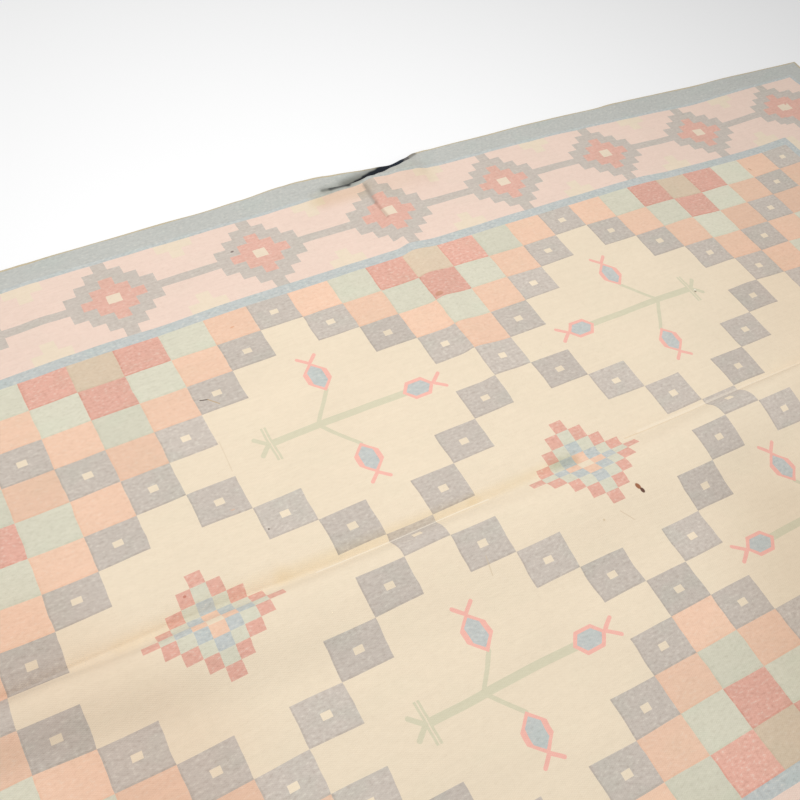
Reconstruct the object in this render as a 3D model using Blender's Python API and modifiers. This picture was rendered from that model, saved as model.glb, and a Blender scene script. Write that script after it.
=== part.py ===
"""A flat-woven cotton rug, lying flat, with the folds it was stored in.

Metres, +Z up. X runs along the rug's length, Y across it, the far edge at +Y.
The origin is on the floor under the middle of the rug.
"""
import bpy
import numpy as np

# Woven design, which sets the size of the cloth
CELL_LENGTH = 0.087
CELL_WIDTH = 0.0687
FIELD_COLUMNS = 25
FIELD_ROWS = 17
BORDER = 0.284
THICKNESS = 0.003

RUG_LENGTH = FIELD_COLUMNS * CELL_LENGTH + 2 * BORDER
RUG_WIDTH = FIELD_ROWS * CELL_WIDTH + 2 * BORDER
HALF_LENGTH = RUG_LENGTH / 2
HALF_WIDTH = RUG_WIDTH / 2

# Long fold down the middle: a valley with a swell on its near side.
# along: place along the rug, valley: where its bottom lies across the rug,
# shoulder: height just beyond the valley, crest: height of the swell,
# run: from valley to crest, power: how late the swell rises, fade: from crest back to
# the floor
LONG_FOLD = {
    "along":    (-1.40, -1.00, -0.78, -0.35, 0.00, 0.15, 0.35, 0.60, 0.80, 1.00, 1.40),
    "valley":   (0.036, 0.039, 0.040, 0.020, 0.023, 0.020, 0.018, 0.016, 0.015, 0.015, 0.015),
    "shoulder": (0.003, 0.011, 0.010, 0.007, 0.004, 0.003, 0.002, 0.002, 0.001, 0.001, 0.001),
    "crest":    (0.008, 0.028, 0.029, 0.023, 0.025, 0.025, 0.024, 0.023, 0.016, 0.010, 0.003),
    "run":      (0.050, 0.051, 0.059, 0.045, 0.074, 0.062, 0.047, 0.038, 0.035, 0.032, 0.030),
    "power":    (1.30, 1.40, 2.15, 1.20, 1.80, 1.40, 1.05, 1.00, 1.00, 1.00, 1.00),
    "fade":     (0.090, 0.090, 0.115, 0.170, 0.165, 0.150, 0.130, 0.115, 0.105, 0.100, 0.100),
}
SHOULDER_REACH = 0.040

# Cross folds: soft ridges over the rug's width.
# along: place at the far edge, lean: sideways drift for each metre towards the near
# edge, lift: height by the far edge, rest: height past the fade, fade_from and
# fade_to: where across the rug the ridge sinks, right and left: reach of its sides
CROSS_FOLDS = (
    {"along": -0.735, "lean": 0.00, "lift": 0.0015, "rest": 0.001,
     "fade_from": 0.62, "fade_to": 0.50, "right": 0.014, "left": 0.040},
    {"along": 0.010, "lean": -0.08, "lift": 0.009, "rest": 0.001,
     "fade_from": 0.34, "fade_to": 0.12, "right": 0.040, "left": 0.018},
    {"along": 0.722, "lean": 0.00, "lift": 0.002, "rest": 0.001,
     "fade_from": 0.62, "fade_to": 0.40, "right": 0.030, "left": 0.030},
)

# Buckle in the outer band at the far edge: a lip, a drop behind it and a low rim.
# inside: how far the lip lies inside the edge, lip: its height, drop: share of the
# height lost behind it, reach: cloth taken by the drop, rim: height of the edge itself
BUCKLE = {
    "along":  (-0.18, -0.12, -0.06, -0.01, 0.015, 0.04, 0.08, 0.12, 0.16, 0.20),
    "inside": (0.040, 0.041, 0.053, 0.056, 0.057, 0.051, 0.044, 0.033, 0.014, 0.008),
    "lip":    (0.000, 0.004, 0.008, 0.009, 0.010, 0.011, 0.018, 0.015, 0.005, 0.000),
    "drop":   (0.0, 0.8, 1.0, 1.0, 1.0, 1.0, 1.0, 1.0, 0.6, 0.0),
    "reach":  (0.012, 0.012, 0.012, 0.013, 0.015, 0.018, 0.022, 0.019, 0.010, 0.004),
    "rim":    (0.000, 0.008, 0.007, 0.005, 0.004, 0.004, 0.004, 0.003, 0.001, 0.000),
}
LIP_NEAR_REACH = 0.075

# Bow of each side of the outline, outwards, along that side, fading inwards from it
FAR_BOW = {
    "along": (-1.40, -1.05, -0.70, -0.35, -0.15, 0.04, 0.22, 0.45, 0.70, 1.05, 1.40),
    "out":   (-0.026, -0.018, -0.009, -0.001, 0.002, 0.003, 0.003, 0.003, -0.003, -0.014, -0.022),
}
NEAR_BOW = {
    "along": (-1.40, -0.70, 0.00, 0.60, 1.40),
    "out":   (-0.008, 0.002, 0.005, 0.001, -0.009),
}
LEFT_BOW = {
    "across": (-0.90, -0.30, 0.30, 0.90),
    "out":    (-0.004, 0.004, 0.002, -0.005),
}
RIGHT_BOW = {
    "across": (-0.90, -0.20, 0.40, 0.90),
    "out":    (-0.006, 0.003, 0.004, -0.004),
}
BOW_START = 0.25

# Extra width of the outer band at the far side
FAR_BAND = {
    "along": (-1.40, -0.76, -0.66, -0.48, -0.39, -0.28, -0.18, -0.12, 0.01, 0.07, 0.13, 0.30, 1.40),
    "out":   (-0.020, -0.019, -0.014, -0.012, -0.013, -0.007, 0.001, -0.006, -0.009, -0.013,
              -0.004, -0.004, -0.004),
}
OUTER_BAND = 0.060

# Grid lines: the share of them that lies before each place
GRID_COLUMNS = 68
GRID_ROWS = 42
COLUMN_PLACES = {
    "share": (0.00, 0.20, 0.28, 0.43, 0.65, 0.80, 0.86, 1.00),
    "place": (-HALF_LENGTH, -0.80, -0.66, -0.16, 0.22, 0.66, 0.78, HALF_LENGTH),
}
ROW_PLACES = {
    "share": (0.00, 0.17, 0.28, 0.54, 0.62, 0.75, 1.00),
    "place": (-HALF_WIDTH, -0.25, -0.09, 0.07, 0.20, HALF_WIDTH - 0.10, HALF_WIDTH),
}

# Row of the cloth that keeps its flat place, and the least cosine of a slope
HELD_ROW = 0.27
LEAST_COSINE = 0.3

# Height under which the cloth lies flat on the floor
FLAT_BELOW = 0.0004

COTTON_COLOUR = (0.84, 0.71, 0.54, 1)
COTTON_ROUGHNESS = 0.92


def eased(table, key, value, name):
    """A table column read at value, with a smooth step between its rows."""
    stops = np.array(table[key])
    levels = np.array(table[name])
    row = np.clip(np.searchsorted(stops, value) - 1, 0, len(stops) - 2)
    part = np.clip((value - stops[row]) / (stops[row + 1] - stops[row]), 0, 1)
    return levels[row] + (levels[row + 1] - levels[row]) * part * part * (3 - 2 * part)


def smooth_step(low, high, value):
    """0 below low, 1 above high, and a soft S between."""
    part = np.clip((value - low) / (high - low), 0, 1)
    return part * part * (3 - 2 * part)


def long_fold_height(along, across):
    """Height of the fold that runs down the middle of the rug."""
    valley = eased(LONG_FOLD, "along", along, "valley")
    shoulder = eased(LONG_FOLD, "along", along, "shoulder")
    crest = eased(LONG_FOLD, "along", along, "crest")
    run = eased(LONG_FOLD, "along", along, "run")
    power = eased(LONG_FOLD, "along", along, "power")
    fade = eased(LONG_FOLD, "along", along, "fade")
    near = valley - across
    rise = np.sin(np.pi / 2 * np.clip(near / run, 0, 1)) ** power
    fall = 0.5 * (1 + np.cos(np.pi * np.clip((near - run) / fade, 0, 1)))
    beyond = np.clip(-near, 0, None) / SHOULDER_REACH
    return crest * rise * fall + shoulder * beyond * np.exp(1 - beyond)


def cross_fold_height(along, across):
    """Height of the soft ridges that cross the rug."""
    height = np.zeros_like(along)
    for fold in CROSS_FOLDS:
        far_share = smooth_step(fold["fade_to"], fold["fade_from"], across)
        offset = along - fold["along"] - fold["lean"] * (HALF_WIDTH - across)
        reach = np.where(offset > 0, fold["right"], fold["left"])
        lift = fold["rest"] + (fold["lift"] - fold["rest"]) * far_share
        height = height + lift * np.exp(-(offset / reach) ** 2)
    return height


def buckled(height, along, across):
    """The height with the buckle's lip added, the drop behind it and the rim."""
    inside = eased(BUCKLE, "along", along, "inside")
    reach = eased(BUCKLE, "along", along, "reach")
    offset = across - (HALF_WIDTH - inside)
    near_side = np.exp(-(np.clip(-offset, 0, None) / LIP_NEAR_REACH) ** 2)
    swollen = height + eased(BUCKLE, "along", along, "lip") * near_side
    lost = eased(BUCKLE, "along", along, "drop") * smooth_step(0, reach, offset)
    rim = eased(BUCKLE, "along", along, "rim") * smooth_step(reach, inside, offset)
    return swollen * (1 - lost) + rim


def rug_height(along, across):
    """Height of the underside over the floor, from the flat cloth's own measures."""
    folds = long_fold_height(along, across) + cross_fold_height(along, across)
    return np.clip(buckled(folds, along, across) - FLAT_BELOW, 0, None)


def outline_shift(along, across):
    """How far the bowed outline moves the flat cloth, fading towards its middle."""
    far = smooth_step(BOW_START, HALF_WIDTH, across)
    near = smooth_step(BOW_START, HALF_WIDTH, -across)
    right = smooth_step(HALF_LENGTH - BORDER, HALF_LENGTH, along)
    left = smooth_step(HALF_LENGTH - BORDER, HALF_LENGTH, -along)
    shift_x = right * eased(RIGHT_BOW, "across", across, "out")
    shift_x = shift_x - left * eased(LEFT_BOW, "across", across, "out")
    band = smooth_step(HALF_WIDTH - OUTER_BAND, HALF_WIDTH, across)
    shift_y = far * eased(FAR_BOW, "along", along, "out")
    shift_y = shift_y + band * eased(FAR_BAND, "along", along, "out")
    shift_y = shift_y - near * eased(NEAR_BOW, "along", along, "out")
    return shift_x, shift_y


def foreshorten(flat, height, axis, held):
    """Places along one axis: each step shortened by the cosine of its slope."""
    step = np.diff(flat, axis=axis)
    slope = np.diff(height, axis=axis) / step
    covered = step * np.sqrt(np.clip(1 - slope ** 2, LEAST_COSINE ** 2, 1))
    lost = np.cumsum(step - covered, axis=axis)
    pad = [(0, 0), (0, 0)]
    pad[axis] = (1, 0)
    lost = np.pad(lost, pad)
    return flat - (lost - np.take(lost, [held], axis=axis))


def rug_points(columns, rows):
    """Points of the underside, row by row, centred on the rug's middle."""
    share_x = np.linspace(0, 1, columns)
    share_y = np.linspace(0, 1, rows)
    stations_x = np.interp(share_x, COLUMN_PLACES["share"], COLUMN_PLACES["place"])
    stations_y = np.interp(share_y, ROW_PLACES["share"], ROW_PLACES["place"])
    along, across = np.meshgrid(stations_x, stations_y)
    height = rug_height(along, across)
    middle_column = int(np.argmin(np.abs(stations_x)))
    held_row = int(np.argmin(np.abs(stations_y - HELD_ROW)))
    x = foreshorten(along, height, 1, middle_column)
    y = foreshorten(across, height, 0, held_row)
    shift_x, shift_y = outline_shift(along, across)
    points = np.stack([x + shift_x, y + shift_y, height], axis=-1).reshape(-1, 3)
    points[:, :2] -= (points[:, :2].min(axis=0) + points[:, :2].max(axis=0)) / 2
    return points


def clear_scene():
    for old in list(bpy.data.objects):
        bpy.data.objects.remove(old, do_unlink=True)


def cotton_material():
    material = bpy.data.materials.new("faded_cotton")
    material.use_nodes = True
    shader = material.node_tree.nodes["Principled BSDF"]
    shader.inputs["Base Color"].default_value = COTTON_COLOUR
    shader.inputs["Roughness"].default_value = COTTON_ROUGHNESS
    shader.inputs["Metallic"].default_value = 0.0
    material.diffuse_color = COTTON_COLOUR
    return material


def make_rug(collection):
    """A grid laid over the folds and thickened upwards."""
    bpy.ops.mesh.primitive_grid_add(
        x_subdivisions=GRID_COLUMNS - 1, y_subdivisions=GRID_ROWS - 1, size=1)
    rug = bpy.context.object
    rug.name = "rug"
    rug.data.name = "rug"
    for holder in list(rug.users_collection):
        holder.objects.unlink(rug)
    collection.objects.link(rug)
    points = rug_points(GRID_COLUMNS, GRID_ROWS)
    rug.data.vertices.foreach_set("co", points.ravel())
    rug.data.update()
    rug.data.shade_smooth()
    rug.data.materials.append(cotton_material())
    cloth = rug.modifiers.new("cloth thickness", "SOLIDIFY")
    cloth.thickness = THICKNESS
    cloth.offset = 1
    return rug


def main():
    clear_scene()
    collection = bpy.data.collections.new("flat woven rug")
    bpy.context.scene.collection.children.link(collection)
    make_rug(collection)


main()
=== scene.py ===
import math
import bpy
import numpy as np
from mathutils import Matrix, Vector


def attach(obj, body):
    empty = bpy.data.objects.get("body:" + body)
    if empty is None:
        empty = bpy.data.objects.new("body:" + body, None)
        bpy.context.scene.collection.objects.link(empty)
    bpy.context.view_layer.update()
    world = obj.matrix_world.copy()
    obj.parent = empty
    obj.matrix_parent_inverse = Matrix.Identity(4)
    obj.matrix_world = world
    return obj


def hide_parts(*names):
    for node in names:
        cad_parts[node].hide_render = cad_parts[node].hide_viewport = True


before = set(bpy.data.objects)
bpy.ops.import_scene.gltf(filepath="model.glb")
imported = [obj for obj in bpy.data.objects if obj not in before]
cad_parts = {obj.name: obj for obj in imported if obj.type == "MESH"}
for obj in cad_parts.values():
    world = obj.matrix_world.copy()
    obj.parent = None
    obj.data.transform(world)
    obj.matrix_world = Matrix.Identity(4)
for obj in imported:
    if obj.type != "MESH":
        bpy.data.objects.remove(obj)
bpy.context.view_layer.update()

print("frame loaded")

# The woven cloth: its design in cells, its folds and its outline, all in metres.
# along is a place on the long side from the rug's middle, across is one on the short
# side, with the far edge at plus
rugCloth = {
    "cellLength": 0.087,
    "cellWidth": 0.0687,
    "columns": 25,
    "rows": 17,
    "border": 0.284,
    "thickness": 0.003,
    "longFold": {
        "along":    (-1.40, -1.00, -0.78, -0.35, 0.00, 0.15, 0.35, 0.60, 0.80, 1.00, 1.40),
        "valley":   (0.036, 0.039, 0.040, 0.020, 0.023, 0.020, 0.018, 0.016, 0.015, 0.015, 0.015),
        "shoulder": (0.003, 0.011, 0.010, 0.007, 0.004, 0.003, 0.002, 0.002, 0.001, 0.001, 0.001),
        "crest":    (0.008, 0.028, 0.029, 0.023, 0.025, 0.025, 0.024, 0.023, 0.016, 0.010, 0.003),
        "run":      (0.050, 0.051, 0.059, 0.045, 0.074, 0.062, 0.047, 0.038, 0.035, 0.032, 0.030),
        "power":    (1.30, 1.40, 2.15, 1.20, 1.80, 1.40, 1.05, 1.00, 1.00, 1.00, 1.00),
        "fade":     (0.090, 0.090, 0.115, 0.170, 0.165, 0.150, 0.130, 0.115, 0.105, 0.100, 0.100),
    },
    "shoulderReach": 0.040,
    "crossFolds": (
        {"along": -0.735, "lean": 0.00, "lift": 0.0015, "rest": 0.001,
         "fadeFrom": 0.62, "fadeTo": 0.50, "right": 0.014, "left": 0.040},
        {"along": 0.010, "lean": -0.08, "lift": 0.009, "rest": 0.001,
         "fadeFrom": 0.34, "fadeTo": 0.12, "right": 0.040, "left": 0.018},
        {"along": 0.722, "lean": 0.00, "lift": 0.002, "rest": 0.001,
         "fadeFrom": 0.62, "fadeTo": 0.40, "right": 0.030, "left": 0.030},
    ),
    "buckle": {
        "along":  (-0.18, -0.12, -0.06, -0.01, 0.015, 0.04, 0.08, 0.12, 0.16, 0.20),
        "inside": (0.040, 0.041, 0.053, 0.056, 0.057, 0.051, 0.044, 0.033, 0.014, 0.008),
        "lip":    (0.000, 0.004, 0.008, 0.009, 0.010, 0.011, 0.018, 0.015, 0.005, 0.000),
        "drop":   (0.0, 0.8, 1.0, 1.0, 1.0, 1.0, 1.0, 1.0, 0.6, 0.0),
        "reach":  (0.012, 0.012, 0.012, 0.013, 0.015, 0.018, 0.022, 0.019, 0.010, 0.004),
        "rim":    (0.000, 0.008, 0.007, 0.005, 0.004, 0.004, 0.004, 0.003, 0.001, 0.000),
    },
    "lipNearReach": 0.075,
    "farBow": {
        "along": (-1.40, -1.05, -0.70, -0.35, -0.15, 0.04, 0.22, 0.45, 0.70, 1.05, 1.40),
        "out":   (-0.026, -0.018, -0.009, -0.001, 0.002, 0.003, 0.003, 0.003, -0.003, -0.014, -0.022),
    },
    "farBand": {
        "along": (-1.40, -0.76, -0.66, -0.48, -0.39, -0.28, -0.18, -0.12, 0.01, 0.07, 0.13, 0.30, 1.40),
        "out":   (-0.020, -0.019, -0.014, -0.012, -0.013, -0.007, 0.001, -0.006, -0.009, -0.013,
                  -0.004, -0.004, -0.004),
    },
    "nearBow": {"along": (-1.40, -0.70, 0.00, 0.60, 1.40),
                "out": (-0.008, 0.002, 0.005, 0.001, -0.009)},
    "leftBow": {"across": (-0.90, -0.30, 0.30, 0.90), "out": (-0.004, 0.004, 0.002, -0.005)},
    "rightBow": {"across": (-0.90, -0.20, 0.40, 0.90), "out": (-0.006, 0.003, 0.004, -0.004)},
    "bowStart": 0.25,  # the long sides bow from here outwards
    "outerBand": 0.060,  # the grey band along the edge
    "heldRow": 0.27,  # this row stays in place while the folds draw the cloth in
    "leastCosine": 0.3,  # the steepest slope that draws the cloth in
    "flatBelow": 0.0004,  # folds are lowered by this, and flat where nothing is left
    # small creases: from and to in metres, height and width of the ridge
    "creases": (
        {"from": (-0.09, 0.420), "to": (0.00, 0.412), "height": 0.0012, "width": 0.006},
    ),
    # soft unevenness of worn cloth: wavelength along, across and height, in metres
    "ripples": (
        {"along": 0.31, "across": 0.23, "height": 0.0005, "phase": 0.4},
        {"along": 0.17, "across": 0.12, "height": 0.0003, "phase": 1.7},
        {"along": 0.07, "across": 0.19, "height": 0.0002, "phase": 2.9},
    ),
    "softRim": {"width": 0.0010, "segments": 2, "angle": 60},
    "gridColumns": 250,
    "gridRows": 176,
    "columnPlaces": {"share": (0.00, 0.18, 0.26, 0.43, 0.60, 0.80, 1.00),
                     "place": (-1.3715, -0.80, -0.66, -0.16, 0.20, 0.72, 1.3715)},
    "rowPlaces": {"share": (0.00, 0.18, 0.28, 0.56, 0.65, 0.80, 1.00),
                  "place": (-0.86795, -0.25, -0.09, 0.07, 0.20, 0.79, 0.86795)},
    # how far the woven design strays from its even place, in cells
    "strayByColumn": {"column": (-15.7, -13.0, -10.0, -7.0, -3.5, 0.0, 3.5, 7.0, 8.5, 10.5, 13.0, 15.7),
                      "along":  (0, 0.07, 0.04, -0.02, 0.02, 0.04, 0.04, -0.03, -0.16, -0.21, -0.22, 0),
                      "across": (0, 0.06, 0.10, 0.00, -0.03, -0.05, -0.02, 0.01, 0.13, 0.19, 0.11, 0)},
    "strayByRow": {"row":    (-4.6, -2.5, -0.5, 2.0, 5.0, 6.4, 7.4, 9.0, 12.0, 13.5, 15.0, 20.6),
                   "along":  (-0.07, -0.06, -0.01, 0.01, 0.03, 0.01, 0.00, -0.03, -0.03, -0.08, -0.10, 0.0),
                   "across": (0.13, 0.03, 0.00, -0.05, 0.02, 0.00, 0.05, -0.02, -0.01, -0.06, -0.11, 0.0)},
    "straySkew": 0.0015,  # for each cell along and each row from the skew row
    "skewRow": 3.0,
}
halfLength = (rugCloth["columns"] * rugCloth["cellLength"]) / 2 + rugCloth["border"]
halfWidth = (rugCloth["rows"] * rugCloth["cellWidth"]) / 2 + rugCloth["border"]
middleRow = (rugCloth["rows"] - 1) / 2
cellShape = rugCloth["cellWidth"] / rugCloth["cellLength"]


# A table column read at value, with a smooth step between its rows
def eased(table, key, value, name):
    stops = np.array(table[key])
    levels = np.array(table[name])
    row = np.clip(np.searchsorted(stops, value) - 1, 0, len(stops) - 2)
    part = np.clip((value - stops[row]) / (stops[row + 1] - stops[row]), 0, 1)
    return levels[row] + (levels[row + 1] - levels[row]) * part * part * (3 - 2 * part)


# 0 below low, 1 above high, three part squared minus two part cubed between
def smoothStep(low, high, value):
    part = np.clip((value - low) / (high - low), 0, 1)
    return part * part * (3 - 2 * part)


# Long fold: a raised sine up from the valley to the crest, half a cosine down on its
# near side, and a low shoulder beyond the valley
def longFoldHeight(along, across):
    fold = rugCloth["longFold"]
    names = ("valley", "shoulder", "crest", "run", "power", "fade")
    valley, shoulder, crest, run, power, fade = (eased(fold, "along", along, name) for name in names)
    near = valley - across
    rise = np.sin(np.pi / 2 * np.clip(near / run, 0, 1)) ** power
    fall = 0.5 * (1 + np.cos(np.pi * np.clip((near - run) / fade, 0, 1)))
    beyond = np.clip(-near, 0, None) / rugCloth["shoulderReach"]
    return crest * rise * fall + shoulder * beyond * np.exp(1 - beyond)


# Cross folds: bell curves along the rug, steep on one side, that sink across it
def crossFoldHeight(along, across):
    height = np.zeros_like(along)
    for fold in rugCloth["crossFolds"]:
        farShare = smoothStep(fold["fadeTo"], fold["fadeFrom"], across)
        offset = along - fold["along"] - fold["lean"] * (halfWidth - across)
        reach = np.where(offset > 0, fold["right"], fold["left"])
        lift = fold["rest"] + (fold["lift"] - fold["rest"]) * farShare
        height = height + lift * np.exp(-(offset / reach) ** 2)
    return height


# Buckle at the far edge: a half bell up to the lip, a drop behind it, and a low rim
def buckled(height, along, across):
    names = ("inside", "lip", "drop", "reach", "rim")
    inside, lip, drop, reach, rim = (eased(rugCloth["buckle"], "along", along, name) for name in names)
    offset = across - (halfWidth - inside)
    nearSide = np.exp(-(np.clip(-offset, 0, None) / rugCloth["lipNearReach"]) ** 2)
    lost = drop * smoothStep(0, reach, offset)
    return (height + lip * nearSide) * (1 - lost) + rim * smoothStep(reach, inside, offset)


# Small creases: a bell curve about the line between two points, thinned at its ends
def creaseHeight(along, across):
    height = np.zeros_like(along)
    for crease in rugCloth["creases"]:
        start, end = np.array(crease["from"]), np.array(crease["to"])
        run = end - start
        part = ((along - start[0]) * run[0] + (across - start[1]) * run[1]) / (run @ run)
        held = np.clip(part, 0, 1)
        distance = np.hypot(along - start[0] - held * run[0], across - start[1] - held * run[1])
        taper = np.sin(np.pi * held) ** 0.5
        height = height + crease["height"] * taper * np.exp(-(distance / crease["width"]) ** 2)
    return height


# Ripples: products of slow sines, lifted so that the lowest touches the floor
def rippleHeight(along, across):
    height = np.zeros_like(along)
    for ripple in rugCloth["ripples"]:
        first = np.sin(2 * np.pi * along / ripple["along"] + ripple["phase"])
        second = np.sin(2 * np.pi * across / ripple["across"] + 2 * ripple["phase"])
        height = height + ripple["height"] * (1 + first * second)
    return height


# The bowed outline: how far each point moves, fading from its side towards the middle
def outlineShift(along, across):
    far = smoothStep(rugCloth["bowStart"], halfWidth, across)
    near = smoothStep(rugCloth["bowStart"], halfWidth, -across)
    right = smoothStep(halfLength - rugCloth["border"], halfLength, along)
    left = smoothStep(halfLength - rugCloth["border"], halfLength, -along)
    band = smoothStep(halfWidth - rugCloth["outerBand"], halfWidth, across)
    shiftX = right * eased(rugCloth["rightBow"], "across", across, "out")
    shiftX = shiftX - left * eased(rugCloth["leftBow"], "across", across, "out")
    shiftY = far * eased(rugCloth["farBow"], "along", along, "out")
    shiftY = shiftY + band * eased(rugCloth["farBand"], "along", along, "out")
    shiftY = shiftY - near * eased(rugCloth["nearBow"], "along", along, "out")
    return shiftX, shiftY


# Places along one axis: each step shortened by the cosine of its slope
def foreshorten(flat, height, axis, held):
    step = np.diff(flat, axis=axis)
    slope = np.diff(height, axis=axis) / step
    covered = step * np.sqrt(np.clip(1 - slope ** 2, rugCloth["leastCosine"] ** 2, 1))
    lost = np.cumsum(step - covered, axis=axis)
    pad = [(0, 0), (0, 0)]
    pad[axis] = (1, 0)
    lost = np.pad(lost, pad)
    return flat - (lost - np.take(lost, [held], axis=axis))


# Grid lines: even shares spread over the places in the table, closer at the folds
def gridLines(count, places):
    return np.interp(np.linspace(0, 1, count), places["share"], places["place"])


# The cloth's grid: flat measures, and the points of the underside over the floor
def clothGrid():
    linesX = gridLines(rugCloth["gridColumns"], rugCloth["columnPlaces"])
    linesY = gridLines(rugCloth["gridRows"], rugCloth["rowPlaces"])
    along, across = np.meshgrid(linesX, linesY)
    folds = longFoldHeight(along, across) + crossFoldHeight(along, across)
    folds = np.clip(buckled(folds, along, across) - rugCloth["flatBelow"], 0, None)
    x = foreshorten(along, folds, 1, int(np.argmin(np.abs(linesX))))
    y = foreshorten(across, folds, 0, int(np.argmin(np.abs(linesY - rugCloth["heldRow"]))))
    shiftX, shiftY = outlineShift(along, across)
    height = folds + creaseHeight(along, across) + rippleHeight(along, across)
    points = np.stack([x + shiftX, y + shiftY, height], axis=-1)
    flatPoints = points.reshape(-1, 3)
    flatPoints[:, :2] -= (flatPoints[:, :2].min(axis=0) + flatPoints[:, :2].max(axis=0)) / 2
    return along, across, flatPoints


# Quads between neighbouring grid points, row by row, wound to face up
def gridFaces(columns, rows):
    corner = (np.arange(rows - 1)[:, None] * columns + np.arange(columns - 1)[None, :]).ravel()
    return np.stack([corner, corner + 1, corner + columns + 1, corner + columns], axis=-1)


# Each point's own place in the woven design, as shares of the cloth from 0 to 1.
# The design's stray is taken off, and dies away in the outer band
def weavePlaces(along, across):
    column = along / rugCloth["cellLength"]
    row = middleRow - across / rugCloth["cellWidth"]
    room = np.minimum(halfLength - np.abs(along), halfWidth - np.abs(across))
    hold = smoothStep(0, rugCloth["outerBand"], room)
    strayU, strayV = (
        eased(rugCloth["strayByColumn"], "column", column, name)
        + eased(rugCloth["strayByRow"], "row", row, name) for name in ("along", "across"))
    strayV = strayV + rugCloth["straySkew"] * column * (row - rugCloth["skewRow"])
    shareX = 0.5 + (along - hold * strayU * rugCloth["cellLength"]) / (2 * halfLength)
    shareY = 0.5 + (across + hold * strayV * rugCloth["cellWidth"]) / (2 * halfWidth)
    return np.stack([shareX, shareY], axis=-1).reshape(-1, 2)


# The rug: grid points joined in quads, thickened upwards, with a softened rim
def makeRug():
    along, across, points = clothGrid()
    faces = gridFaces(rugCloth["gridColumns"], rugCloth["gridRows"])
    mesh = bpy.data.meshes.new("wovenRug")
    mesh.from_pydata(points.tolist(), [], faces.tolist())
    places = weavePlaces(along, across)
    layer = mesh.uv_layers.new(name="weave")
    layer.uv.foreach_set("vector", places[faces.ravel()].astype(np.float32).ravel())
    mesh.shade_smooth()
    rug = bpy.data.objects.new("wovenRug", mesh)
    bpy.context.scene.collection.objects.link(rug)
    body = rug.modifiers.new("clothThickness", "SOLIDIFY")
    body.thickness = rugCloth["thickness"]
    body.offset = 1
    rim = rug.modifiers.new("softRim", "BEVEL")
    rim.width = rugCloth["softRim"]["width"]
    rim.segments = rugCloth["softRim"]["segments"]
    rim.limit_method = "ANGLE"
    rim.angle_limit = math.radians(rugCloth["softRim"]["angle"])
    return rug


# A node socket that plain sums can be written with: each sum adds a Math node
class nodeValue:
    def __init__(self, tree, socket):
        self.tree = tree
        self.socket = socket

    def calc(self, operation, *others):
        node = self.tree.nodes.new("ShaderNodeMath")
        node.operation = operation
        for slot, value in enumerate((self,) + others):
            if isinstance(value, nodeValue):
                self.tree.links.new(value.socket, node.inputs[slot])
            else:
                node.inputs[slot].default_value = value
        return nodeValue(self.tree, node.outputs[0])

    def __add__(self, other):
        return self.calc("ADD", other)

    __radd__ = __add__

    def __sub__(self, other):
        return self.calc("SUBTRACT", other)

    def __rsub__(self, other):
        return self.calc("MULTIPLY", -1.0).calc("ADD", other)

    def __mul__(self, other):
        return self.calc("MULTIPLY", other)

    def __truediv__(self, other):
        return self.calc("DIVIDE", other)

    def __mod__(self, other):
        return self.calc("FLOORED_MODULO", other)

    def __lt__(self, other):
        return self.calc("LESS_THAN", other)

    def __gt__(self, other):
        return self.calc("GREATER_THAN", other)

    def __and__(self, other):
        return self.calc("MINIMUM", other)

    def __or__(self, other):
        return self.calc("MAXIMUM", other)

    def __abs__(self):
        return self.calc("ABSOLUTE")

    def rounded(self):
        return self.calc("ROUND")

    # held between 0 and 1
    def limited(self):
        return self.calc("MAXIMUM", 0.0).calc("MINIMUM", 1.0)


# Colours of the dyed yarns as seen in daylight, 0 to 255, and how flecked each one is
yarnColours = {
    "cream":      {"shade": (243, 226, 200), "fleck": 0.10},
    "grey":       {"shade": (206, 195, 184), "fleck": 0.45},
    "tan":        {"shade": (225, 204, 178), "fleck": 0.25},
    "rose":       {"shade": (234, 180, 162), "fleck": 0.48},
    "mint":       {"shade": (223, 219, 198), "fleck": 0.28},
    "peach":      {"shade": (244, 205, 178), "fleck": 0.25},
    "skyBlue":    {"shade": (200, 204, 201), "fleck": 0.50},
    "shellPink":  {"shade": (244, 218, 202), "fleck": 0.15},
    "seaGrey":    {"shade": (198, 199, 193), "fleck": 0.35},
    "stemGreen":  {"shade": (222, 215, 187), "fleck": 0.10},
    "budPink":    {"shade": (250, 190, 175), "fleck": 0.10},
    "budBlue":    {"shade": (201, 204, 200), "fleck": 0.35},
    "bandCream":  {"shade": (242, 224, 200), "fleck": 0.10},
    "bandRose":   {"shade": (234, 185, 168), "fleck": 0.35},
    "edgeTan":    {"shade": (204, 190, 160), "fleck": 0.20},
    "bandGrey":   {"shade": (208, 197, 186), "fleck": 0.35},
}
yarnNames = list(yarnColours)

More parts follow.
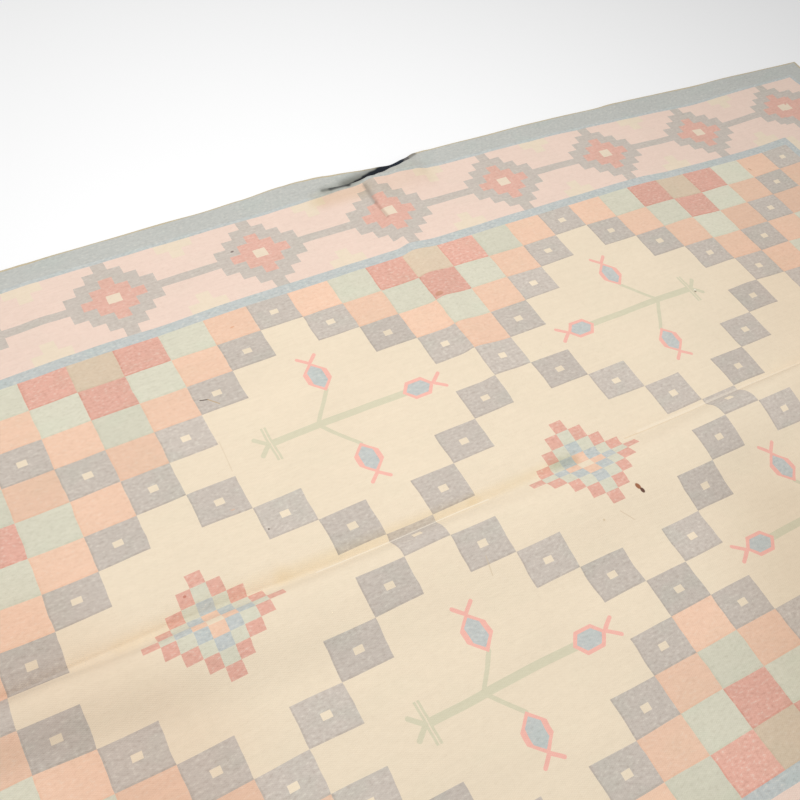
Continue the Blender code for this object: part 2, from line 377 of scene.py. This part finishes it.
# The design, measured in cells: column counts along the rug, row counts towards the near
# edge, with the first row of cells at the far side as row 0. Border measures are in cell
# widths from the field outwards
design = {
    "warpsPerCell": 29,
    "weftsPerCell": 45,
    "repeat": 8,
    "diamondYarns": ("tan", "rose", "mint", "peach", "grey"),
    "filledPast": (11.5, 7.5),  # diamonds centred past these columns and rows are filled
    "outlineRing": 3.5,  # of the others only the rings past this one are woven
    "creamSquare": (0.094, 0.086),  # half sizes
    "medallionStep": (0.302, 0.337),
    "medallionThin": 0.045,  # lost on each side of the middle row
    "medallionYarns": ("cream", "peach", "skyBlue", "mint", "rose"),
    "leftMedallion": (-0.030, 0.294),  # its shift, and its own step along
    "guardLine": 0.32,
    "pinkBand": 2.94,
    "innerLine": 0.13,
    "edgeLine": 0.055,
    "borderTotal": 4.134,
    "bandSpacing": 3.45,
    "sideSpacing": 4.116,
    "sidePhase": 0.5,  # the short sides have no medallion at their middle
    "bandStep": 0.288,
    "bandRows": 9,
    "barHalf": 0.45,
    # steps from a medallion's middle to the end of each colour, greyAlong only along the band
    "bandMedallion": {"grey": 4.5, "greyAlong": 3.5, "rose": 2.5, "cream": 0.5},
    # rows from the band's middle, and steps from midway between two medallions
    "creamSteps": ((3.5, 1.5), (2.5, 0.5)),
}

# The curve of sRGB: straight near black and a power above it
screenCurve = {"straightTo": 0.04045, "slope": 12.92, "lift": 0.055, "power": 2.4}


# sRGB 0 to 255 as the linear colour of a node socket
def linearColour(shade, gain=1.0):
    value = np.array(shade) / 255
    lift = screenCurve["lift"]
    curved = ((value + lift) / (1 + lift)) ** screenCurve["power"]
    linear = np.where(value <= screenCurve["straightTo"], value / screenCurve["slope"], curved)
    return (*(linear * gain).tolist(), 1.0)


# A yarn's code is its place in the list of names
def yarnCode(name):
    return float(yarnNames.index(name))


# The first value where the mask is 0, and the second where it is 1
def choose(mask, first, second):
    return first + mask * (second - first)


# The yarn's code where the mask is 1, and what was there before elsewhere
def lay(codes, mask, name):
    return choose(mask, codes, yarnCode(name))


# 1 where a value rounds to the whole number
def matches(value, whole):
    return abs(value - whole) < 0.5


# Distance to the nearest whole multiple of the repeat
def repeatGap(value, repeat):
    return abs((value + repeat / 2) % repeat - repeat / 2)


# Squared distance to the straight line between two points, in cell lengths
def strokeGap(p, q, start, end):
    runP, runQ = end[0] - start[0], (end[1] - start[1]) * cellShape
    p = p - start[0]
    q = (q - start[1]) * cellShape
    part = ((p * runP + q * runQ) / (runP ** 2 + runQ ** 2)).limited()
    gapP = p - part * runP
    gapQ = q - part * runQ
    return gapP * gapP + gapQ * gapQ


# 1 within half a width of the straight line between two points
def stroke(p, q, start, end, width):
    return strokeGap(p, q, start, end) < (width / 2) ** 2


# 1 inside a hexagon pointed at both ends: the half width shrinks past the straight part
def bud(p, q, length, width, straight):
    room = ((length - abs(p)) / (length - straight)).limited() * width
    return abs(q) < room


# Cells of the field: stepped diamonds ringed in grey on an even chequer. The ring number
# of a cell is the larger of its two diagonal distances from the nearest diamond's middle
def fieldCodes(u, v):
    column, row = u.rounded(), v.rounded()
    total, difference = column + row, column - row
    repeat = design["repeat"]
    ring = repeatGap(total, repeat) | repeatGap(difference, repeat)
    centreA, centreB = (total / repeat).rounded(), (difference / repeat).rounded()
    centreColumn = (centreA + centreB) * (repeat / 2)
    centreRow = (centreA - centreB) * (repeat / 2)
    lastColumn, lastRow = design["filledPast"]
    filled = (abs(centreColumn) > lastColumn) | (abs(centreRow - middleRow) > lastRow)
    chequered = filled | (ring > design["outlineRing"])
    codes = yarnCode("cream")
    for step, name in enumerate(design["diamondYarns"]):
        codes = lay(codes, matches(ring, step) & chequered, name)
    return codes


# A small cream square in the middle of each grey cell
def squareCodes(codes, u, v):
    halfU, halfV = design["creamSquare"]
    square = (abs(u - u.rounded()) < halfU) & (abs(v - v.rounded()) < halfV)
    return lay(codes, matches(codes, yarnCode("grey")) & square, "cream")


# Small medallions: rings of steps counted outwards from the middle, where one row is
# thinner. The left one lies a little off its place and is woven a little narrower
def medallionCodes(codes, u, v):
    stepU, stepV = design["medallionStep"]
    shift, leftStep = design["leftMedallion"]
    repeat = design["repeat"]
    left = u < -repeat / 2
    offset = u - (u / repeat).rounded() * repeat - left * shift
    countU = abs((offset / choose(left, stepU, leftStep)).rounded())
    countV = ((abs(v - middleRow) + design["medallionThin"]) / stepV).rounded()
    for step, name in enumerate(design["medallionYarns"]):
        codes = lay(codes, matches(countU + countV, step), name)
    return codes


# Sprigs, in cells from the middle of each: the stem runs along p towards the rug's middle
# and the side buds stand off it along q. The near ones stray by nearShift and
# nearRightShift, and their side buds stand closer or farther by the other two. Strokes
# are given as start, end and width, buds as half length, half width and straight part
sprig = {
    "place": (4.0, 4.0),
    "nearShift": 0.08,
    "nearRightShift": -0.15,
    "nearSide": -0.13,
    "nearRightSide": 0.22,
    "stemHalf": 0.10,
    "stem": (-1.56, 1.50),
    "bar": (-1.57, 0.036, 0.024, 0.51),  # place, half gap, half width and half length
    "splay": ((-1.62, 0.0), (-1.84, 0.26), 0.095),
    "branch": ((-0.54, 0.0), (0.03, 0.93), 0.085),
    "sideBud": (0.02, 1.41),
    "sideTail": ((0.0, 0.48), (0.20, 0.71), 0.080),
    "endBud": 1.81,
    "endTail": ((0.36, 0.0), (0.60, 0.23), 0.080),
    "sideOuter": (0.51, 0.275, 0.15),
    "sideInner": (0.39, 0.165, 0.19),
    "endOuter": (0.375, 0.30, 0.19),
    "endInner": (0.285, 0.205, 0.15),
}


# Sprigs: mirrored about both middle lines of the rug, stems first and then the buds
def sprigCodes(codes, u, v):
    near = v > middleRow
    nearRight = near & (u > 0.0)
    p = sprig["place"][0] - abs(u)
    q = abs(v - middleRow) - sprig["place"][1]
    q = abs(q - near * sprig["nearShift"] - nearRight * sprig["nearRightShift"])
    side = q - near * sprig["nearSide"] - nearRight * sprig["nearRightSide"]
    stem = (q < sprig["stemHalf"]) & (p > sprig["stem"][0]) & (p < sprig["stem"][1])
    barPlace, lineGap, lineHalf, barReach = sprig["bar"]
    bar = (abs(abs(p - barPlace) - lineGap) < lineHalf) & (q < barReach)
    splay = stroke(p, q, *sprig["splay"])
    branch = stroke(p, side, *sprig["branch"])
    codes = lay(codes, stem | bar | splay | branch, "stemGreen")
    sideP, sideQ = p - sprig["sideBud"][0], side - sprig["sideBud"][1]
    endP = p - sprig["endBud"]
    tails = stroke(abs(sideP), sideQ, *sprig["sideTail"]) | stroke(endP, q, *sprig["endTail"])
    outer = bud(sideQ, sideP, *sprig["sideOuter"]) | bud(endP, q, *sprig["endOuter"])
    inner = bud(sideQ, sideP, *sprig["sideInner"]) | bud(endP, q, *sprig["endInner"])
    codes = lay(codes, outer | tails, "budPink")
    return lay(codes, inner, "budBlue")


# Border: bands by distance from the field, with a row of medallions on the pink one.
# The distance is the larger of the two overshoots, in cell widths
def borderCodes(codes, u, v):
    overU = (abs(u) - rugCloth["columns"] / 2) / cellShape
    overV = abs(v - middleRow) - rugCloth["rows"] / 2
    distance = overU | overV
    side = overU > overV
    guard, rows = design["guardLine"], design["bandRows"]
    pinkEnd = guard + design["pinkBand"]
    inBorder = distance > 0.0
    inBand = (distance > guard) & (distance < pinkEnd)
    codes = lay(codes, inBorder, "shellPink")

    # steps along the band from the nearest medallion's middle, and from midway between two
    place = choose(side, u, v - middleRow)
    spacing = choose(side, design["bandSpacing"], design["sideSpacing"])
    step = choose(side, design["bandStep"], design["bandStep"] / cellShape)
    turns = place / spacing + side * design["sidePhase"]
    count = abs(((turns - turns.rounded()) * spacing / step).rounded())
    midway = abs(((turns - turns.calc("FLOOR") - 0.5) * spacing / step).rounded())
    depth = (distance - guard) / (design["pinkBand"] / rows)
    fromMiddle = abs(depth.calc("FLOOR") - (rows - 1) / 2)
    for row, reach in design["creamSteps"]:
        codes = lay(codes, inBand & (fromMiddle > row) & (midway < reach), "bandCream")

    ends = design["bandMedallion"]
    steps = count + fromMiddle
    bar = abs(depth - rows / 2) < design["barHalf"]
    stepped = (steps < ends["grey"]) & (count < ends["greyAlong"])
    codes = lay(codes, inBand & (bar | stepped), "bandGrey")
    codes = lay(codes, inBand & (steps < ends["rose"]), "bandRose")
    codes = lay(codes, inBand & (steps < ends["cream"]), "bandCream")

    codes = lay(codes, inBorder & (distance < guard), "skyBlue")
    codes = lay(codes, distance > pinkEnd, "seaGrey")
    innerLine = (distance > pinkEnd) & (distance < pinkEnd + design["innerLine"])
    codes = lay(codes, innerLine, "skyBlue")
    return lay(codes, distance > design["borderTotal"] - design["edgeLine"], "edgeTan")


# How the cloth looks. Lengths of wander, rag and joins are in cells and threads, tones and
# strengths are shares of the colour, and the bump is in metres
clothLook = {
    "colourGain": 0.93,
    "wanderAlong": 0.055,
    "wanderAcross": 0.11,
    "noiseShift": 80.0,  # far enough along for a noise unlike the first
    "ragged": 0.008,
    "joinWarps": 1.2,
    "joinWefts": 1.8,
    "joinStrength": 0.45,
    "paleFleck": (244, 236, 220),
    "paleAbove": 0.54,
    "paleStrength": 0.70,
    "darkFleck": (198, 188, 182),
    "darkBelow": 0.47,
    "darkStrength": 0.60,
    "fleckEdge": 6.0,
    "patchTint": (0.93, 1.00, 0.98, 1.0),
    "runTone": 0.07,
    "bandTone": 0.09,
    "mottleTone": 0.06,
    "mottleOfFlecks": 0.30,
    "cellTone": 0.12,
    "reliefShade": 0.07,
    "markEdge": 2.0,
    "roughness": 0.92,
    "roughnessSpread": 0.12,
    "bumpHeight": 0.0004,
    "bumpStrength": 0.6,
    "bumpRelief": 0.6,
    "bumpSlub": 0.8,
    "specular": 0.15,
    "sheen": 0.10,
    "sheenRoughness": 0.6,
}

# Noises over the cloth: repeats along, repeats across, and detail. Repeats are for each
# cell, but for each thread in fleck and for each weft across in weftRun
clothNoise = {
    "wanderAlong":  (0.7, 1.7, 1.0),
    "wanderAcross": (0.5, 0.9, 1.0),
    "ragged":       (2.3, 9.0, 2.0),
    "fleck":        (0.40, 0.34, 3.0),
    "patch":        (1.1, 1.3, 2.0),
    "weftRun":      (0.8, 0.73, 1.0),
    "band":         (0.45, 0.6, 2.0),
    "mottle":       (5.0, 6.0, 3.0),
    "slub":         (9.0, 30.0, 2.0),
}


# A colour ramp with one flat step for each yarn, read by the yarn's code
def yarnRamp(tree, codes, colourOf):
    ramp = tree.nodes.new("ShaderNodeValToRGB")
    ramp.color_ramp.interpolation = "CONSTANT"
    elements = ramp.color_ramp.elements
    elements.remove(elements[1])
    for step, name in enumerate(yarnNames):
        element = elements[0] if step == 0 else elements.new(step / len(yarnNames))
        element.position = step / len(yarnNames)
        element.color = colourOf(name)
    position = (codes + 0.5) / len(yarnNames)
    tree.links.new(position.socket, ramp.inputs["Fac"])
    return ramp.outputs["Color"]


# Two values as the first two parts of a vector
def joinXY(tree, x, y):
    join = tree.nodes.new("ShaderNodeCombineXYZ")
    tree.links.new(x.socket, join.inputs["X"])
    tree.links.new(y.socket, join.inputs["Y"])
    return join.outputs["Vector"]


# Noise of the cloth at a place given by two values
def noiseAt(tree, x, y, name):
    along, across, detail = clothNoise[name]
    noise = tree.nodes.new("ShaderNodeTexNoise")
    noise.inputs["Scale"].default_value = 1.0
    noise.inputs["Detail"].default_value = detail
    tree.links.new(joinXY(tree, x * along, y * across), noise.inputs["Vector"])
    return nodeValue(tree, noise.outputs["Fac"])


# The same noise less its middle, from minus a half to a half
def noiseSwing(tree, x, y, name):
    return noiseAt(tree, x, y, name) - 0.5


# One random value for each whole pair of numbers
def cellNoise(tree, column, row):
    noise = tree.nodes.new("ShaderNodeTexWhiteNoise")
    noise.noise_dimensions = "2D"
    tree.links.new(joinXY(tree, column, row), noise.inputs["Vector"])
    return nodeValue(tree, noise.outputs["Value"])


# Blend of a colour towards another by a factor
def blendColour(tree, factor, first, second, mode="MIX"):
    mix = tree.nodes.new("ShaderNodeMix")
    mix.data_type = "RGBA"
    mix.blend_type = mode
    mix.clamp_result = False
    tree.links.new(factor.socket, mix.inputs["Factor"])
    for value, slot in ((first, 6), (second, 7)):  # its two colour inputs
        if isinstance(value, tuple):
            mix.inputs[slot].default_value = value
        else:
            tree.links.new(value, mix.inputs[slot])
    return mix.outputs[2]  # its colour output


# A colour times a value
def scaleColour(tree, colour, factor):
    scale = tree.nodes.new("ShaderNodeVectorMath")
    scale.operation = "SCALE"
    tree.links.new(colour, scale.inputs[0])
    tree.links.new(factor.socket, scale.inputs["Scale"])
    return scale.outputs["Vector"]


# Small marks of wear: places and half sizes in cells of the design, turn in degrees
wearMarks = (
    {"place": (0.56, 9.31), "half": (0.085, 0.055), "turn": 72, "shade": (158, 96, 62), "depth": 0.95},
    {"place": (0.6, 9.45), "half": (0.07, 0.048), "turn": 78, "shade": (92, 50, 38), "depth": 0.95},
    {"place": (-6.41, 6.23), "half": (0.022, 0.022), "turn": 0, "shade": (96, 84, 74), "depth": 0.8},
    {"place": (-6.84, 5.35), "half": (0.05, 0.022), "turn": 0, "shade": (226, 178, 150), "depth": 0.5},
    {"place": (-4.03, -2.65), "half": (0.05, 0.03), "turn": -10, "shade": (120, 104, 100), "depth": 0.8},
    {"place": (-5.00, 0.05), "half": (0.06, 0.022), "turn": -8, "shade": (226, 160, 118), "depth": 0.6},
    {"place": (5.66, 4.16), "half": (0.035, 0.03), "turn": 0, "shade": (112, 104, 84), "depth": 0.7},
    {"place": (5.69, 4.1), "half": (0.028, 0.024), "turn": 0, "shade": (250, 244, 232), "depth": 0.9},
    {"place": (10.62, 0.08), "half": (0.07, 0.03), "turn": 70, "shade": (196, 150, 116), "depth": 0.6},
    {"place": (-8.32, 6.96), "half": (0.036, 0.026), "turn": 0, "shade": (198, 124, 106), "depth": 0.8},
    {"place": (-0.35, 1.36), "half": (0.11, 0.075), "turn": 0, "shade": (196, 140, 110), "depth": 0.6},
    {"place": (-0.54, 9.72), "half": (0.03, 0.03), "turn": 0, "shade": (214, 192, 160), "depth": 0.7},
)

# Tints between two places of the design, multiplied over the dye: yellowed stains with
# painted shade along the long fold, painted fold shadow in the right medallion, a darker,
# yellower tone about the buckle, and broad painted shade where the light falls off, over
# the right and near parts and at the left end. Widths in cells
tintsAndPaintedShade = (
    # yellowed stain and painted shade in the long fold's valley
    {"start": (-9.6, 7.38), "end": (-6.6, 7.4), "width": 0.6, "shade": (252, 246, 234), "depth": 0.4},
    {"start": (-6.6, 7.45), "end": (-2.6, 7.62), "width": 0.52, "shade": (250, 243, 226), "depth": 0.5},
    {"start": (-2.6, 7.62), "end": (-0.8, 7.6), "width": 0.46, "shade": (252, 246, 232), "depth": 0.5},
    # painted shadow of the fold over the right medallion
    {"start": (-0.58, 7.6), "end": (-0.18, 7.7), "width": 0.5, "shade": (222, 224, 212), "depth": 0.8},
    # thin line of painted shade along the fold's ridge on the right, partly yellowed
    {"start": (1.2, 7.69), "end": (4.4, 7.75), "width": 0.05, "shade": (238, 224, 204), "depth": 0.5},
    {"start": (4.4, 7.75), "end": (11.4, 7.78), "width": 0.06, "shade": (228, 208, 188), "depth": 0.5},
    # painted shade: the light falling off over the right and near parts
    {"start": (8.8, 5.5), "end": (7.0, 13.0), "width": 7.0, "shade": (253, 250, 248), "depth": 1.1},
    {"start": (3.5, 12.5), "end": (2.0, 16.0), "width": 6.0, "shade": (243, 240, 237), "depth": 1.2},
    # a darker, yellower tone about the buckle
    {"start": (-1.35, -3.62), "end": (-0.3, -3.54), "width": 0.9, "shade": (244, 239, 228), "depth": 1.0},
    {"start": (0.3, -3.5), "end": (1.4, -3.7), "width": 1.6, "shade": (247, 244, 240), "depth": 1.0},
    # painted shade: the light falling off at the left end
    {"start": (-11.2, 6.5), "end": (-9.5, 10.5), "width": 4.0, "shade": (251, 247, 245), "depth": 1.2},
)

# Soft strokes between two places of the design: painted highlights along the long fold,
# faint lines, painted shade along the crease over the pink band, a loose thread, and
# painted shade over the buckle's rim with painted shadow down in its hollow. Widths in cells
softStrokes = (
    # painted highlights along the long fold
    {"start": (-6.0, 7.72), "end": (-2.3, 7.75), "width": 0.06, "shade": (254, 246, 230), "depth": 0.6},
    {"start": (1.6, 7.64), "end": (11.4, 7.69), "width": 0.14, "shade": (252, 240, 220), "depth": 0.35},
    {"start": (-6.39, 2.06), "end": (-6.24, 2.11), "width": 0.04, "shade": (96, 84, 74), "depth": 1.2},
    {"start": (-6.24, 2.11), "end": (-6.07, 2.35), "width": 0.036, "shade": (196, 168, 130), "depth": 1.0},
    {"start": (-3.08, 9.3), "end": (-3.15, 9.78), "width": 0.035, "shade": (214, 194, 164), "depth": 0.6},
    {"start": (-6.46, 3.43), "end": (-6.51, 4.34), "width": 0.035, "shade": (220, 200, 172), "depth": 0.5},
    {"start": (-0.11, 9.69), "end": (0.07, 10.02), "width": 0.04, "shade": (216, 194, 166), "depth": 0.6},
    # painted shade along the crease over the pink band
    {"start": (-0.14, -3.62), "end": (-0.15, -2.8), "width": 0.2, "shade": (150, 138, 128), "depth": 0.5},
    {"start": (-0.15, -2.8), "end": (-0.12, -2.1), "width": 0.14, "shade": (176, 132, 118), "depth": 0.45},
    # painted shade over the buckle's rim, then painted shadow down in its hollow, darkest at its middle
    {"start": (-1.05, -4.02), "end": (-0.05, -4.14), "width": 0.6, "shade": (130, 130, 120), "depth": 0.5},
    {"start": (-0.45, -4.12), "end": (0.4, -4.4), "width": 0.7, "shade": (112, 112, 104), "depth": 0.8},
    {"start": (-1.16, -4.02), "end": (-0.96, -3.96), "width": 0.16, "shade": (110, 112, 106), "depth": 0.7},
    {"start": (-0.96, -3.96), "end": (-0.5, -3.92), "width": 0.18, "shade": (80, 82, 80), "depth": 1.0},
    {"start": (-0.5, -3.93), "end": (-0.34, -4.08), "width": 0.22, "shade": (60, 62, 60), "depth": 1.3},
    {"start": (-0.34, -4.08), "end": (-0.17, -4.15), "width": 0.2, "shade": (46, 48, 48), "depth": 1.6},
    {"start": (-0.17, -4.15), "end": (0.09, -4.27), "width": 0.22, "shade": (32, 34, 38), "depth": 1.9},
    {"start": (0.09, -4.28), "end": (0.32, -4.37), "width": 0.28, "shade": (26, 30, 36), "depth": 2.1},
    {"start": (0.32, -4.37), "end": (0.58, -4.45), "width": 0.3, "shade": (24, 30, 38), "depth": 2.2},
    {"start": (0.58, -4.46), "end": (0.98, -4.58), "width": 0.36, "shade": (24, 30, 40), "depth": 2.4},
    {"start": (0.98, -4.58), "end": (1.42, -4.6), "width": 0.3, "shade": (30, 38, 50), "depth": 2.0},
    {"start": (1.42, -4.58), "end": (1.72, -4.6), "width": 0.26, "shade": (120, 116, 112), "depth": 0.8},
)


# 1 in the middle of an oval mark and 0 past its rim: one minus the squared distance as a
# share of the oval's, times the steepness of its edge
def ovalMark(u, v, mark):
    turn = math.radians(mark["turn"])
    p = u - mark["place"][0]
    q = (v - mark["place"][1]) * cellShape
    first = (p * math.cos(turn) + q * math.sin(turn)) / mark["half"][0]
    second = (q * math.cos(turn) - p * math.sin(turn)) / mark["half"][1]
    return ((1.0 - (first * first + second * second)) * clothLook["markEdge"]).limited()


# Strongest along a soft stroke and 0 half a width away: (one minus the gap's share
# squared) squared, times the mark's depth, and never above 1
def softStroke(u, v, mark):
    gap = strokeGap(u, v, mark["start"], mark["end"])
    bell = (1.0 - gap / (mark["width"] / 2) ** 2).limited()
    return (bell * bell * mark["depth"]).limited()


# Place in the design at each point of the cloth: columns along, rows towards the near edge
def designPlace(tree):
    uv = tree.nodes.new("ShaderNodeUVMap")
    uv.uv_map = "weave"
    split = tree.nodes.new("ShaderNodeSeparateXYZ")
    tree.links.new(uv.outputs["UV"], split.inputs["Vector"])
    shareX = nodeValue(tree, split.outputs["X"])
    shareY = nodeValue(tree, split.outputs["Y"])
    u = (shareX - 0.5) * (2 * halfLength / rugCloth["cellLength"])
    v = (0.5 - shareY) * (2 * halfWidth / rugCloth["cellWidth"]) + middleRow
    return u, v


# The same place counted in warps and wefts, with the wander of a design woven by hand
def threadPlace(tree, u, v):
    wanderU = noiseSwing(tree, u, v, "wanderAlong") * clothLook["wanderAlong"]
    farU = u + clothLook["noiseShift"]
    wanderV = noiseSwing(tree, farU, v, "wanderAcross") * clothLook["wanderAcross"]
    raggedU = noiseSwing(tree, u, v, "ragged") * clothLook["ragged"]
    return (u + wanderU + raggedU) * design["warpsPerCell"], (v + wanderV) * design["weftsPerCell"]


# Seams: 1 within a thread or two of a chequered cell's left or near side
def cellSeams(snapU, snapV, chequered):
    leftGap = ((snapU + 0.5) % 1.0) * design["warpsPerCell"]
    nearGap = (1.0 - (snapV + 0.5) % 1.0) * design["weftsPerCell"]
    return ((leftGap < clothLook["joinWarps"]) | (nearGap < clothLook["joinWefts"])) & chequered


# Dyed colour: each yarn's shade, deeper in the seams, with pale flecks of undyed fibre,
# darker flecks, and patches of a cooler tint
def dyedColour(tree, codes, flecked, seams, u, v):
    gain, edge = clothLook["colourGain"], clothLook["fleckEdge"]
    colour = yarnRamp(tree, codes, lambda name: linearColour(yarnColours[name]["shade"], gain))
    colour = blendColour(tree, seams * flecked * clothLook["joinStrength"], colour, colour, "MULTIPLY")
    noise = noiseAt(tree, u * design["warpsPerCell"], v * design["weftsPerCell"], "fleck")
    pale = ((noise - clothLook["paleAbove"]) * edge).limited() * flecked * clothLook["paleStrength"]
    colour = blendColour(tree, pale, colour, linearColour(clothLook["paleFleck"], gain))
    dark = ((clothLook["darkBelow"] - noise) * edge).limited() * flecked * clothLook["darkStrength"]
    colour = blendColour(tree, dark, colour, linearColour(clothLook["darkFleck"]), "MULTIPLY")
    patch = (noiseSwing(tree, u, v, "patch") * edge).limited() * flecked
    return blendColour(tree, patch, colour, clothLook["patchTint"], "MULTIPLY")


# Tone of the dye about 1: every weft its own strength in long runs, slow bands, mottling
# that grows with the flecks, and a tone for each chequered cell
def dyeTone(tree, u, v, weft, flecked, cellLot):
    run = noiseSwing(tree, u, weft, "weftRun") * clothLook["runTone"]
    band = noiseSwing(tree, u, v, "band") * clothLook["bandTone"]
    mottling = flecked * clothLook["mottleOfFlecks"] + clothLook["mottleTone"]
    mottle = noiseSwing(tree, u, v, "mottle") * mottling
    return run + band + mottle + cellLot * clothLook["cellTone"] + 1.0


# Thread relief from 0 to 1: beads of weft over every second warp, one minus the squared
# distance from the weft's crown
def threadRelief(wovenU, wovenV, weft):
    bead = ((wovenU + weft) * math.pi).calc("COSINE") * 0.5 + 0.5
    fromCrown = (wovenV - weft) * 2.0
    return bead * (1.0 - fromCrown * fromCrown)


# Wear and painted light over the dye: tints (stains and painted shade) multiply it, soft
# strokes (painted highlights, shade and shadow among them) and then small marks cover it
def wornAndShadedColour(tree, colour, u, v):
    gain = clothLook["colourGain"]
    for mark in tintsAndPaintedShade:
        tint = linearColour(mark["shade"])
        colour = blendColour(tree, softStroke(u, v, mark), colour, tint, "MULTIPLY")
    for mark in softStrokes:
        colour = blendColour(tree, softStroke(u, v, mark), colour, linearColour(mark["shade"], gain))
    for mark in wearMarks:
        cover = ovalMark(u, v, mark) * mark["depth"]
        colour = blendColour(tree, cover, colour, linearColour(mark["shade"], gain))
    return colour


# Surface of the cotton: slubs vary the roughness, and stand up with the thread relief
def setSurface(tree, shader, relief, u, v):
    slub = noiseAt(tree, u, v, "slub")
    roughness = (slub - 0.5) * clothLook["roughnessSpread"] + clothLook["roughness"]
    tree.links.new(roughness.socket, shader.inputs["Roughness"])
    bump = tree.nodes.new("ShaderNodeBump")
    bump.inputs["Distance"].default_value = clothLook["bumpHeight"]
    bump.inputs["Strength"].default_value = clothLook["bumpStrength"]
    height = relief * clothLook["bumpRelief"] + slub * clothLook["bumpSlub"]
    tree.links.new(height.socket, bump.inputs["Height"])
    tree.links.new(bump.outputs["Normal"], shader.inputs["Normal"])
    shader.inputs["Specular IOR Level"].default_value = clothLook["specular"]
    shader.inputs["Sheen Weight"].default_value = clothLook["sheen"]
    shader.inputs["Sheen Roughness"].default_value = clothLook["sheenRoughness"]


# The cotton: the code of the yarn at each crossing gives the dyed colour, which is then
# scaled by tone and by painted shade of the thread relief, then worn and painted with light and shade
def makeClothMaterial():
    material = bpy.data.materials.new("fadedCottonWeave")
    material.use_nodes = True
    tree = material.node_tree
    shader = tree.nodes["Principled BSDF"]
    warps, wefts = design["warpsPerCell"], design["weftsPerCell"]
    u, v = designPlace(tree)
    wovenU, wovenV = threadPlace(tree, u, v)
    weft = wovenV.rounded()
    snapU, snapV = wovenU.rounded() / warps, weft / wefts  # stepped by whole threads
    smoothU, smoothV = wovenU / warps, wovenV / wefts  # for the small squares and sprigs

    chequers = fieldCodes(snapU, snapV)
    codes = squareCodes(chequers, smoothU, smoothV)
    codes = medallionCodes(codes, snapU, snapV)
    codes = sprigCodes(codes, smoothU, smoothV)
    codes = borderCodes(codes, snapU, snapV)
    flecked = nodeValue(tree, yarnRamp(
        tree, codes, lambda name: (*(yarnColours[name]["fleck"],) * 3, 1.0)))
    inField = (abs(snapU) < rugCloth["columns"] / 2) & (abs(snapV - middleRow) < rugCloth["rows"] / 2)
    chequered = inField & (chequers > 0.5)
    seams = cellSeams(snapU, snapV, chequered)
    colour = dyedColour(tree, codes, flecked, seams, u, v)

    cellLot = (cellNoise(tree, snapU.rounded(), snapV.rounded()) - 0.5) * chequered
    relief = threadRelief(wovenU, wovenV, weft)
    # painted shade of the thread relief: darker between the weft beads, lighter on their crowns
    shading = (relief - 0.5) * clothLook["reliefShade"] + 1.0
    tone = dyeTone(tree, u, v, weft, flecked, cellLot) * shading
    colour = wornAndShadedColour(tree, scaleColour(tree, colour, tone), u, v)
    tree.links.new(colour, shader.inputs["Base Color"])
    setSurface(tree, shader, relief, u, v)
    return material


rug = makeRug()
rug.data.materials.append(makeClothMaterial())
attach(rug, "root")
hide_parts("rug")
print("rug made")

# Plain pale floor
floorLook = {"size": 14.0, "drop": 0.0004, "shade": (250, 250, 250), "roughness": 0.8, "specular": 0.1}


# The floor: one square quad, a hair under the rug
def makeFloor():
    half = floorLook["size"] / 2
    mesh = bpy.data.meshes.new("paleFloor")
    corners = [(-half, -half), (half, -half), (half, half), (-half, half)]
    mesh.from_pydata([(x, y, -floorLook["drop"]) for x, y in corners], [], [(0, 1, 2, 3)])
    floor = bpy.data.objects.new("paleFloor", mesh)
    bpy.context.scene.collection.objects.link(floor)
    material = bpy.data.materials.new("paleFloorPaint")
    material.use_nodes = True
    shader = material.node_tree.nodes["Principled BSDF"]
    shader.inputs["Base Color"].default_value = linearColour(floorLook["shade"])
    shader.inputs["Roughness"].default_value = floorLook["roughness"]
    shader.inputs["Specular IOR Level"].default_value = floorLook["specular"]
    mesh.materials.append(material)
    return floor


floor = makeFloor()
2 * halfLength
2 * halfWidth
print("floor made")

# Soft studio light: an even white surround and one broad lamp over the rug's far part
studio = {"surround": 0.48, "power": 40.0, "size": 1.6, "place": (-0.30, 0.41, 2.4)}


# The light: a white surround and a round lamp that faces straight down
def makeLight():
    scene = bpy.context.scene
    world = bpy.data.worlds.new("whiteSurround")
    world.use_nodes = True
    back = world.node_tree.nodes["Background"]
    back.inputs["Color"].default_value = (1, 1, 1, 1)
    back.inputs["Strength"].default_value = studio["surround"]
    scene.world = world
    data = bpy.data.lights.new("broadLamp", "AREA")
    data.shape = "DISK"
    data.size = studio["size"]
    data.energy = studio["power"]
    lamp = bpy.data.objects.new("broadLamp", data)
    lamp.location = studio["place"]
    scene.collection.objects.link(lamp)
    scene.view_settings.view_transform = "Standard"


makeLight()

# Camera where the photograph was taken: held over the near left part, in metres,
# with the roll in degrees and the lens in millimetres
viewpoint = {
    "place": (-0.9360, -0.5764, 1.384),
    "looksAt": (-0.2275, 0.2668, 0.0),
    "roll": 12.77,
    "lens": 43.77,
    "sensor": 36.0,
    "clipStart": 0.05,
}


# The camera looks from its place to its aim, then rolls about that line
def makeCamera():
    data = bpy.data.cameras.new("viewpoint")
    data.lens = viewpoint["lens"]
    data.sensor_width = viewpoint["sensor"]
    data.clip_start = viewpoint["clipStart"]
    camera = bpy.data.objects.new("viewpoint", data)
    place = Vector(viewpoint["place"])
    aim = (Vector(viewpoint["looksAt"]) - place).to_track_quat("-Z", "Y").to_matrix().to_4x4()
    turn = Matrix.Rotation(math.radians(viewpoint["roll"]), 4, "Z")
    camera.matrix_world = Matrix.Translation(place) @ aim @ turn
    bpy.context.scene.collection.objects.link(camera)
    bpy.context.scene.camera = camera


makeCamera()
print("light and camera made")
